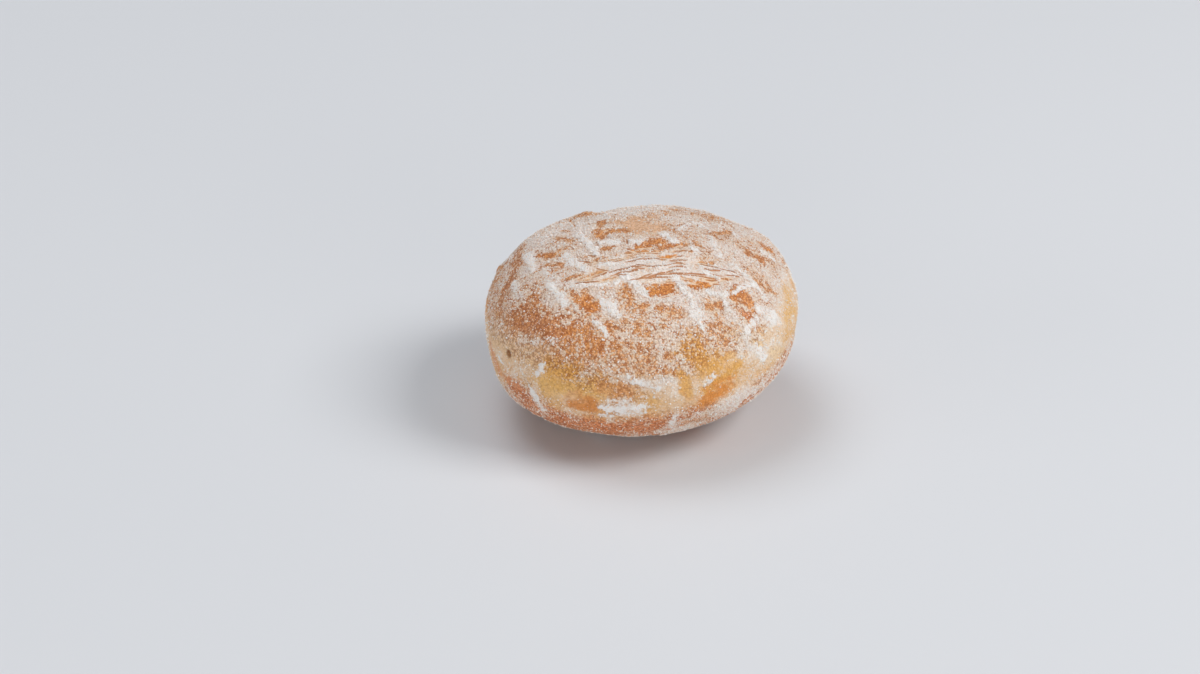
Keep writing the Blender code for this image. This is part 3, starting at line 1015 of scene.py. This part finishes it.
# Clumps of icing sugar. Damp sugar sticks together into soft crumbs of a quarter to half a millimetre,
# which lie thickest in the streaks and are pressed lightly into the crust.
CLUMPS = 8000
CLUMP_SIZES = (0.22 * MM, 0.50 * MM)
CLUMP_UNEVENNESS = 0.18
CLUMP_SEED = 5
CLUMP_ROUGHNESS = 0.9
CLUMP_COLOURS = ((0.80, 0.70, 0.62), (0.84, 0.81, 0.79))

# The cover of sugar above which clumps lie, and how fast they grow more with it
CLUMPS_ABOVE = 0.2
CLUMPS_GROW = 1.5

# Of clumps and grains alike: how far the small ones outnumber the large ones, how far the middle of one
# stands out of the crust as a share of its size, and how flat it may be
SMALL_ONES = 1.8
STANDING_OUT = 0.18
FLATTEST = 0.6

# How much of the tint is each crumb's own, up to which value it is the warm one, and the size of the
# changes within a crumb
OWN_TINT = 0.8
WARM_UP_TO = 0.45
TINT_SIZE = 0.5 * MM


def face_values(mesh):
    """Each triangle's corners, its area and the mean cover of sugar on it, less in creases."""
    corners = np.empty(len(mesh.polygons) * 3, np.int32)
    mesh.polygons.foreach_get("vertices", corners)
    corners = corners.reshape(-1, 3)
    first, second, third = (crust_points[corners[:, column]] for column in range(3))
    area = np.linalg.norm(np.cross(second - first, third - first), axis=1) / 2.0
    return corners, area, (crust_sugar * (1.0 - crust_crease))[corners].mean(axis=1)


crust_corners, crust_areas, crust_face_sugar = face_values(crust_surface)


def turned_at_random(count, chance):
    """Rotation matrices, evenly spread over all directions."""
    four = chance.normal(size=(count, 4))
    w, x, y, z = (four / np.linalg.norm(four, axis=1)[:, None]).T
    rows = (
        (1 - 2 * (y * y + z * z), 2 * (x * y - z * w), 2 * (x * z + y * w)),
        (2 * (x * y + z * w), 1 - 2 * (x * x + z * z), 2 * (y * z - x * w)),
        (2 * (x * z - y * w), 2 * (y * z + x * w), 1 - 2 * (x * x + y * y)),
    )
    return np.array(rows).transpose(2, 0, 1)


def scattered(name, shape_points, shape_faces, count, sizes, likelihood, unevenness, chance):
    """One piece of many small crumbs that lie on the crust. likelihood weighs each triangle of the crust, and
    each crumb's own tint is a random number from 0 to 1."""
    clear_of_floor = crust_points[crust_corners, 2].min(axis=1) > sizes[1]
    weights = crust_areas * likelihood * clear_of_floor
    faces = chance.choice(len(weights), size=count, p=weights / weights.sum())
    shares = chance.dirichlet((1.0, 1.0, 1.0), size=count)
    corners = crust_corners[faces]
    places = np.einsum("ij,ijk->ik", shares, crust_points[corners])
    outwards = np.einsum("ij,ijk->ik", shares, crust_normals[corners])
    size = chance.uniform(0.0, 1.0, count) ** SMALL_ONES * (sizes[1] - sizes[0]) + sizes[0]
    places = places + outwards * (size * STANDING_OUT)[:, None]
    shapes = shape_points * (1.0 + unevenness * chance.uniform(-1.0, 1.0, (count, len(shape_points), 1)))
    shapes = shapes * chance.uniform(FLATTEST, 1.0, (count, 1, 3)) * (size / 2.0)[:, None, None]
    points = np.einsum("nij,nkj->nki", turned_at_random(count, chance), shapes) + places[:, None, :]
    all_faces = shape_faces[None, :, :] + (np.arange(count) * len(shape_points))[:, None, None]
    mesh = bpy.data.meshes.new(name)
    mesh.from_pydata(points.reshape(-1, 3).tolist(), [], all_faces.reshape(-1, 3).tolist())
    mesh.update()
    add_values(mesh, "tint", np.repeat(chance.uniform(0.0, 1.0, count), len(shape_points)))
    return placed(name, mesh)


def crumb_shape():
    """A rounded crumb of 20 faces, 1 unit in radius."""
    ball = bmesh.new()
    bmesh.ops.create_icosphere(ball, subdivisions=1, radius=1.0)
    points = np.array([vertex.co for vertex in ball.verts])
    faces = np.array([[vertex.index for vertex in face.verts] for face in ball.faces])
    ball.free()
    return points, faces


def sugar_material(name, roughness, colours):
    """Sugar from warm, where it has soaked up fat, to white. Each crumb has its own tint between the two."""
    material, shader = new_material(name)
    nodes, links = material.node_tree.nodes, material.node_tree.links
    place = put(nodes, "ShaderNodeTexCoord")
    change = put(nodes, "ShaderNodeTexNoise")
    change.inputs["Scale"].default_value = 1.0 / TINT_SIZE
    links.new(place.outputs["Object"], change.inputs["Vector"])
    share = put(nodes, "ShaderNodeMath", operation="MULTIPLY_ADD")
    links.new(put(nodes, "ShaderNodeAttribute", attribute_name="tint").outputs["Fac"], share.inputs[0])
    share.inputs[1].default_value = OWN_TINT
    links.new(change.outputs["Fac"], share.inputs[2])
    ramp = put(nodes, "ShaderNodeValToRGB")
    for stop, position, colour in zip(ramp.color_ramp.elements, (WARM_UP_TO, 1.0), colours):
        stop.position = position
        stop.color = (*colour, 1.0)
    links.new(share.outputs[0], ramp.inputs["Fac"])
    links.new(ramp.outputs["Color"], shader.inputs["Base Color"])
    shader.inputs["Roughness"].default_value = roughness
    return material


clump_points, clump_faces = crumb_shape()
clumps = scattered(
    "sugar_clumps",
    clump_points,
    clump_faces,
    CLUMPS,
    CLUMP_SIZES,
    np.clip(crust_face_sugar - CLUMPS_ABOVE, 0.0, 1.0) ** CLUMPS_GROW,
    CLUMP_UNEVENNESS,
    np.random.default_rng(CLUMP_SEED),
)
clumps.data.shade_smooth()
clumps.data.materials.append(sugar_material("clumped_sugar", CLUMP_ROUGHNESS, CLUMP_COLOURS))
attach(clumps, "root")


# Grains of sugar. The finest of it lies loose all over the skin as single grains. They have soaked up more
# fat than the clumps, so they are warmer, and a few lie even where the skin looks bare.
GRAINS = 24500
GRAIN_SIZES = (0.16 * MM, 0.42 * MM)
GRAIN_UNEVENNESS = 0.25
GRAIN_SEED = 6
GRAIN_ROUGHNESS = 0.7
GRAIN_COLOURS = ((0.76, 0.52, 0.36), (0.83, 0.75, 0.69))

# How many grains lie on bare skin next to full cover, and how many of them a smooth place lacks
GRAINS_ON_BARE_SKIN = 0.05
GRAINS_LACKING = 0.7

# A grain with eight faces: its six corners, 1 unit from its middle, and the corners of each face
GRAIN_POINTS = np.array([side * axis for axis in np.eye(3) for side in (1.0, -1.0)])
GRAIN_FACES = np.array(
    ((0, 2, 4), (2, 1, 4), (1, 3, 4), (3, 0, 4), (2, 0, 5), (1, 2, 5), (3, 1, 5), (0, 3, 5))
)

grain_likelihood = GRAINS_ON_BARE_SKIN + crust_face_sugar
grain_likelihood *= 1.0 - GRAINS_LACKING * smoothness[crust_corners].mean(axis=1)
grains = scattered(
    "sugar_grains",
    GRAIN_POINTS,
    GRAIN_FACES,
    GRAINS,
    GRAIN_SIZES,
    grain_likelihood,
    GRAIN_UNEVENNESS,
    np.random.default_rng(GRAIN_SEED),
)
grains.data.materials.append(sugar_material("loose_sugar", GRAIN_ROUGHNESS, GRAIN_COLOURS))
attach(grains, "root")


# Floor and light. The floor is a plain pale sheet. One large soft lamp stands on the right, 45 degrees up.
# Weaker ones stand low in front, low on the left, low at the front right, and high above, a little behind
# and to the left. A pale room fills the shadows.
FLOOR_HALF_SIZE = 3.0
FLOOR_COLOUR = (0.66, 0.675, 0.705, 1.0)
FLOOR_ROUGHNESS = 0.6
FLOOR_CORNERS = ((-1, -1), (1, -1), (1, 1), (-1, 1))
LAMP_DISTANCE = 1.3
ROOM_COLOUR = (0.93, 0.96, 1.0, 1.0)
ROOM_STRENGTH = 0.22

# The lamps, each with its direction from the doughnut, the length of its sides, its watts and its colour
LAMPS = (
    ("key", (1.0, -0.20, 1.0), 0.6, 10.9, (1.0, 0.985, 0.965)),
    ("front", (-0.25, -1.0, 0.10), 0.8, 5.4, (1.0, 0.985, 0.96)),
    ("left", (-1.0, -0.40, 0.12), 0.8, 3.7, (1.0, 0.985, 0.96)),
    ("front_right", (0.60, -1.0, 0.04), 0.8, 5.9, (1.0, 0.96, 0.90)),
    ("above", (-0.34, 0.34, 1.0), 0.8, 7.1, (0.95, 0.97, 1.0)),
)

floor_mesh = bpy.data.meshes.new("floor")
floor_points = [(x * FLOOR_HALF_SIZE, y * FLOOR_HALF_SIZE, 0.0) for x, y in FLOOR_CORNERS]
floor_mesh.from_pydata(floor_points, [], [range(len(floor_points))])
floor_material, floor_shader = new_material("floor")
floor_shader.inputs["Base Color"].default_value = FLOOR_COLOUR
floor_shader.inputs["Roughness"].default_value = FLOOR_ROUGHNESS
floor_mesh.materials.append(floor_material)
floor = placed("floor", floor_mesh)

for name, direction, side, watts, colour in LAMPS:
    light = bpy.data.lights.new(name, "AREA")
    light.size = side
    light.energy = watts
    light.color = colour
    lamp = placed(name, light)
    lamp.location = middle + Vector(direction).normalized() * LAMP_DISTANCE
    lamp.rotation_euler = (middle - lamp.location).to_track_quat("-Z", "Y").to_euler()

room = bpy.data.worlds.new("room")
room.use_nodes = True
room.node_tree.nodes["Background"].inputs["Color"].default_value = ROOM_COLOUR
room.node_tree.nodes["Background"].inputs["Strength"].default_value = ROOM_STRENGTH
bpy.context.scene.world = room
bpy.context.scene.view_settings.view_transform = "Standard"
